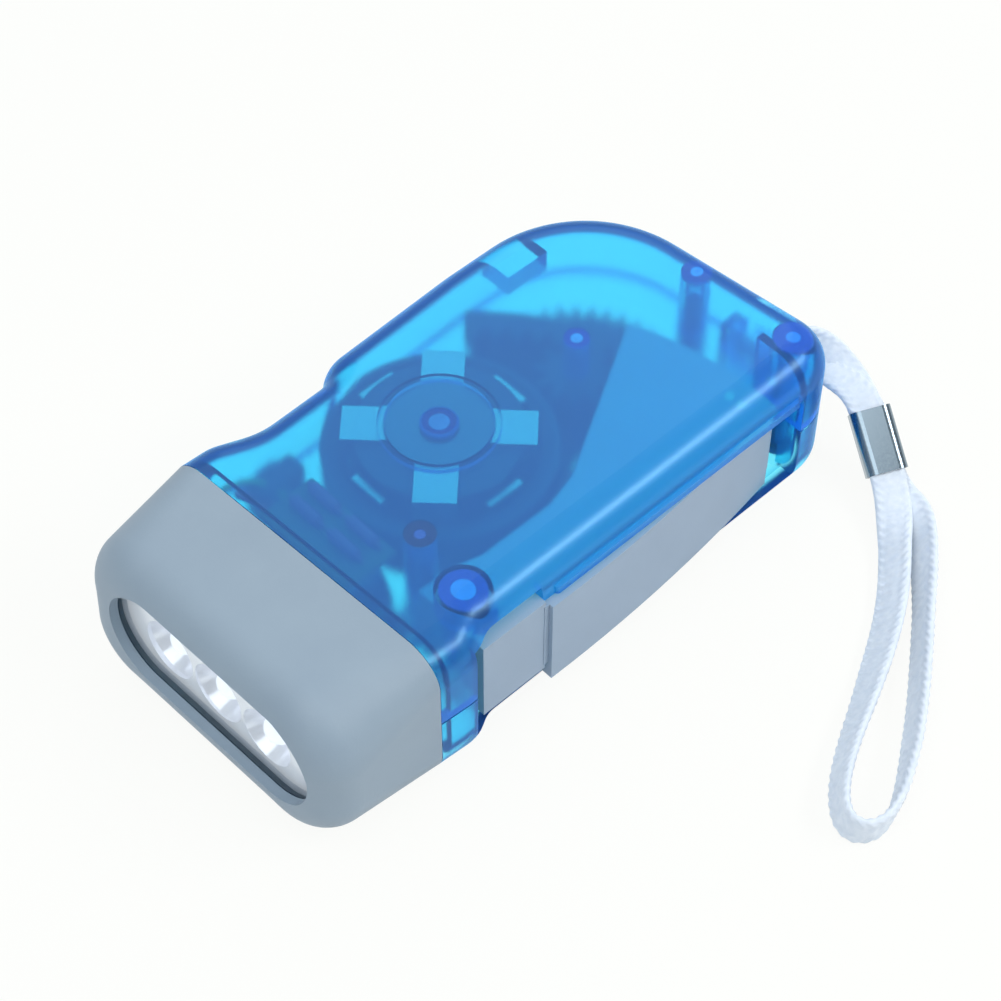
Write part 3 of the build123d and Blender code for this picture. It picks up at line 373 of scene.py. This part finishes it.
def turned_ring(name, centre_x, centre_y, inner, outer, material):
    """A ring of square section turned about its own axis: four corners of the section carried round."""
    sides = 48
    turn = np.linspace(0, 2 * np.pi, sides, endpoint=False)[:, None]
    radius = np.array([inner, outer, outer, inner])[None, :] / 1000
    height = np.array([0, 0, mark_depth, mark_depth])[None, :] + mark_height - mark_depth
    ring = np.stack(
        [
            centre_x / 1000 + radius * np.cos(turn),
            centre_y / 1000 + radius * np.sin(turn),
            height + 0 * turn,
        ],
        axis=-1,
    )
    index = np.arange(sides * 4).reshape(sides, 4)
    index = np.vstack([index, index[:1]])
    ahead = np.roll(index, -1, axis=1)
    quads = np.stack([index[:-1], index[1:], ahead[1:], ahead[:-1]], axis=-1).reshape(-1, 4)
    mesh = bpy.data.meshes.new(name)
    mesh.from_pydata(ring.reshape(-1, 3).tolist(), [], quads.tolist())
    mesh.materials.append(material)
    piece = bpy.data.objects.new(name, mesh)
    bpy.context.scene.collection.objects.link(piece)
    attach(piece, "casing")
    return piece


def root_tone_and_painted_glint(name, code):
    """One deep tone that clouds a little, with a soft gloss: thick tinted polycarbonate for a ring, a painted
    glint for a hole's end.
    """
    material, tree = new_material(name)
    place = put(tree, "ShaderNodeTexCoord")
    cloud = put(
        tree, "ShaderNodeTexNoise", {"Vector": place.outputs["Object"], "Scale": 700.0, "Detail": 2.0}
    )
    deep, pale = linear(code), tuple(min(1.0, 1.5 * part) for part in linear(code))
    tone = mixed(tree, cloud.outputs["Fac"], deep, pale)
    skin = put(tree, "ShaderNodeBsdfPrincipled", {"Base Color": tone, "Roughness": 0.35})
    put(tree, "ShaderNodeOutputMaterial", {"Surface": skin.outputs[0]})
    return material


for number, (x, y, inner, outer, ring_code, glint_code) in enumerate(post_marks):
    wall = root_tone_and_painted_glint(f"thick_polycarbonate_{number}", ring_code)
    # The hole's end gets a flat paler colour: a painted highlight, not a colour of the plastic.
    hole = root_tone_and_painted_glint(f"hole_end_painted_glint_{number}", glint_code)
    turned_ring(f"post_root_{number}", x, y, inner, outer, wall)
    turned_ring(f"hole_end_{number}", x, y, 0.05, inner - 0.02, hole)

# ---------------------------------------------------------------- head and lever
# Grey ABS with a fine spark-eroded grain, which keeps it matte under the lamps.
def moulded_plastic(name, dark, pale, roughness, grain_mm=0.35, depth=0.00002):
    """A moulded plastic: two close tones in soft clouds, and a fine eroded grain of the given size."""
    material, tree = new_material(name)
    place = put(tree, "ShaderNodeTexCoord")
    cloud = put(tree, "ShaderNodeTexNoise", {"Vector": place.outputs["Object"], "Scale": 90.0, "Detail": 4.0})
    tone = mixed(tree, cloud.outputs["Fac"], linear(dark), linear(pale))
    grain = put(
        tree,
        "ShaderNodeTexNoise",
        {"Vector": place.outputs["Object"], "Scale": 1000 / grain_mm, "Detail": 1.0},
    )
    pits = put(tree, "ShaderNodeBump", {"Height": grain.outputs["Fac"], "Strength": 0.5, "Distance": depth})
    skin = put(
        tree,
        "ShaderNodeBsdfPrincipled",
        {"Base Color": tone, "Roughness": roughness, "Normal": pits.outputs[0]},
    )
    put(tree, "ShaderNodeOutputMaterial", {"Surface": skin.outputs[0]})
    return material


grey_abs = moulded_plastic("grey_abs", "8799A9", "92A4B2", 0.5)
dress(grey_abs, "head_bezel", "lever_catch")
dress(moulded_plastic("grey_abs_of_the_lever", "8C9FB4", "97ABBF", 0.5), "lever")
dark_nylon = moulded_plastic("dark_nylon", "23252B", "2E3138", 0.42, 0.5)
dress(dark_nylon, "gear_sector", "drive_wheel", "clutch_pinion", "flywheel")
dress(dark_nylon, "switch_body", "switch_knob", "cell_holder", "coil_bobbin")

# ---------------------------------------------------------------- window, reflector and lamps
# A flat acrylic window, a vacuum-plated reflector with three cups, and three milky epoxy lamps that
# glow a little. Behind them come the metals and plastics of the works.
acrylic, tree = new_material("clear_acrylic")
edge = outside_shine(tree, 1.49)
air = put(tree, "ShaderNodeBsdfTransparent", {"Color": (0.97, 0.985, 0.99, 1.0)})
shine = put(tree, "ShaderNodeBsdfGlossy", {"Color": (1, 1, 1, 1), "Roughness": 0.03})
pane = put(tree, "ShaderNodeMixShader", {0: edge, 1: air.outputs[0], 2: shine.outputs[0]})
put(tree, "ShaderNodeOutputMaterial", {"Surface": pane.outputs[0]})
dress(acrylic, "front_lens")


def metal(name, dark, pale, roughness, brushed_mm=0.2, metallic=1.0):
    """A bare metal: close tones and a roughness that wanders a little, from fine drawn lines."""
    material, tree = new_material(name)
    place = put(tree, "ShaderNodeTexCoord")
    lines = put(
        tree,
        "ShaderNodeTexNoise",
        {"Vector": place.outputs["Object"], "Scale": 1000 / brushed_mm, "Detail": 2.0},
    )
    tone = mixed(tree, lines.outputs["Fac"], linear(dark), linear(pale))
    rough = put(
        tree,
        "ShaderNodeMapRange",
        {"Value": lines.outputs["Fac"], "To Min": roughness * 0.8, "To Max": roughness * 1.25},
    )
    skin = put(
        tree,
        "ShaderNodeBsdfPrincipled",
        {"Base Color": tone, "Metallic": metallic, "Roughness": rough.outputs[0]},
    )
    put(tree, "ShaderNodeOutputMaterial", {"Surface": skin.outputs[0]})
    return material


dress(metal("vacuum_plated_chrome", "E8ECF6", "F8FAFF", 0.18, 2.0, 0.4), "reflector")
dress(metal("bright_zinc", "B9BCBE", "D0D2D2", 0.32), "bottom_pole_plate", "contact_tabs")

# The plate on top is bright on its four arms and darker in its middle, out to 8 mm from the axle.
axle, middle_edge, arm_start = (0.00128, -0.00541, 0), 0.0079, 0.0083
plate = metal("zinc_darker_in_the_middle", "B9BCBE", "D0D2D2", 0.32)
tree = plate.node_tree
place = put(tree, "ShaderNodeTexCoord")
flat = put(tree, "ShaderNodeVectorMath", {0: place.outputs["Object"], 1: (1, 1, 0)}, operation="MULTIPLY")
out = put(tree, "ShaderNodeVectorMath", {0: flat.outputs[0], 1: axle}, operation="DISTANCE")
rim = put(
    tree,
    "ShaderNodeMapRange",
    {"Value": out.outputs["Value"], "From Min": middle_edge, "From Max": arm_start},
)
skin = next(node for node in tree.nodes if node.type == "BSDF_PRINCIPLED")
bright = skin.inputs["Base Color"].links[0].from_socket
tree.links.new(mixed(tree, rim.outputs[0], linear("6E747C"), bright), skin.inputs["Base Color"])
dress(plate, "top_pole_plate")
ground_steel = metal("ground_steel", "A8AAAD", "C2C4C6", 0.22)
dress(ground_steel, "flywheel_pin", "gear_pin", "return_spring", "sector_rivets", "strap_pin")
dress(metal("coppery_screw", "8E3A3A", "A84848", 0.3), "case_screws")
dress(metal("enamelled_copper", "7A3A1E", "95502C", 0.35, 0.3), "coil_winding")
dress(metal("cell_steel", "5E6268", "767A80", 0.3), "button_cells")
dress(metal("polished_ferrule", "7C8E9C", "98A8B2", 0.18), "strap_ferrule")
dress(moulded_plastic("sintered_ferrite", "1C1D20", "26272B", 0.6), "ring_magnet")
dress(moulded_plastic("fibre_board", "5A4A2A", "6A5832", 0.55), "led_board", "charge_board")
dress(moulded_plastic("diode_epoxy", "B03050", "C84068", 0.35), "diodes")
dress(moulded_plastic("red_lead", "D82838", "E83C4C", 0.4), "wires_red")
dress(moulded_plastic("green_lead", "1F8A4A", "2A9E58", 0.4), "wires_green")

epoxy, tree = new_material("clear_epoxy")
edge = outside_shine(tree, 1.5)
air = put(tree, "ShaderNodeBsdfTransparent", {"Color": (0.95, 0.97, 1.0, 1.0)})
shine = put(
    tree,
    "ShaderNodeBsdfPrincipled",
    {
        "Base Color": linear("F8FBFF"),
        "Roughness": 0.05,
        "Emission Color": linear("F4F8FF"),
        "Emission Strength": 0.4,
    },
)
some = put(tree, "ShaderNodeMapRange", {"Value": edge, "To Min": 0.75, "To Max": 1.0})
dome = put(tree, "ShaderNodeMixShader", {0: some.outputs[0], 1: air.outputs[0], 2: shine.outputs[0]})
put(tree, "ShaderNodeOutputMaterial", {"Surface": dome.outputs[0]})
dress(epoxy, "led_far", "led_middle", "led_near")
